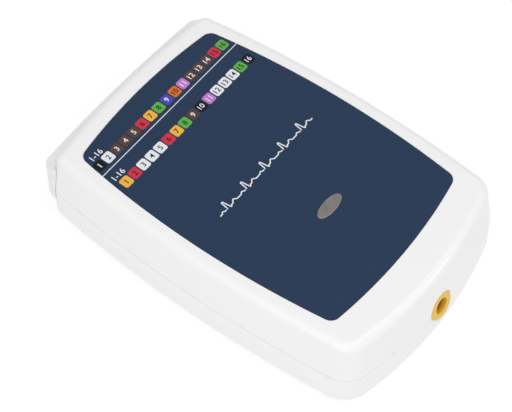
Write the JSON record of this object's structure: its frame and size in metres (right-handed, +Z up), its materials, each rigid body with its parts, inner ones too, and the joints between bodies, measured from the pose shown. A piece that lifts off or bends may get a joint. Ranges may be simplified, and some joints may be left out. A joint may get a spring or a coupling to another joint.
{
  "type": "ecg acquisition box",
  "caption": "Flat white box with bowed sides that links electrocardiograph leads to a computer, with a printed top sheet, a D-shaped cable connector and a round data socket.",
  "frame": {"origin": "under the middle of the whole box, on the surface that its feet stand on", "axes": "+Z up, +Y towards the patient-cable connector, -Y towards the round data socket, +X along the width"},
  "size_m": [0.1028, 0.1529, 0.0331],
  "materials": {
    "white_abs": "satin injection-moulded ABS",
    "overlay_sheet": "reverse-printed velvet polyester sheet",
    "window_plastic": "translucent grey acrylic",
    "lamp_plastic": "moulded lamp housing",
    "tinned_steel": "tin-plated steel",
    "black_insulator": "glass-filled insulator",
    "gold_contacts": "gold-plated",
    "nickel_brass": "nickel-plated brass, satin",
    "yellow_plastic": "moulded amber-yellow plastic",
    "brown_insulator": "moulded insulator",
    "wire_insulation": "extruded PVC",
    "ivory_nylon": "moulded nylon",
    "zinc_steel": "zinc-plated",
    "brass_insert": "turned and knurled brass",
    "foot_rubber": "moulded rubber",
    "plate_film": "silver-grey polyester film",
    "green_laminate": "solder-masked epoxy laminate",
    "chip_epoxy": "moulded epoxy",
    "can_aluminium": "drawn can with a sleeve"
  },
  "bodies": {
    "root": {"top_shell": "white_abs", "bottom_shell": "white_abs", "label_overlay": "overlay_sheet", "indicator_lens": "window_plastic", "indicator_led": "lamp_plastic", "connector_frame": "white_abs", "lead_connector_shell": "tinned_steel", "lead_connector_insulator": "black_insulator", "lead_connector_contacts": "gold_contacts", "jack_screws": "nickel_brass", "lock_nuts": "nickel_brass", "socket_body": "yellow_plastic", "socket_insert": "brown_insulator", "socket_contacts": "gold_contacts", "socket_leads": "wire_insulation", "lead_plug": "ivory_nylon", "board_header": "ivory_nylon", "header_pins": "gold_contacts", "case_screws": "zinc_steel", "screw_inserts": "brass_insert", "rubber_feet": "foot_rubber", "rating_plate": "plate_film", "main_board": "green_laminate", "board_screws": "zinc_steel", "protection_resistors": "chip_epoxy", "amplifier_chips": "chip_epoxy", "shield_can": "tinned_steel", "isolator_chips": "chip_epoxy", "isolation_converter": "chip_epoxy", "microcontroller": "chip_epoxy", "crystal": "tinned_steel", "capacitors": "can_aluminium"}
  },
  "joints": []
}
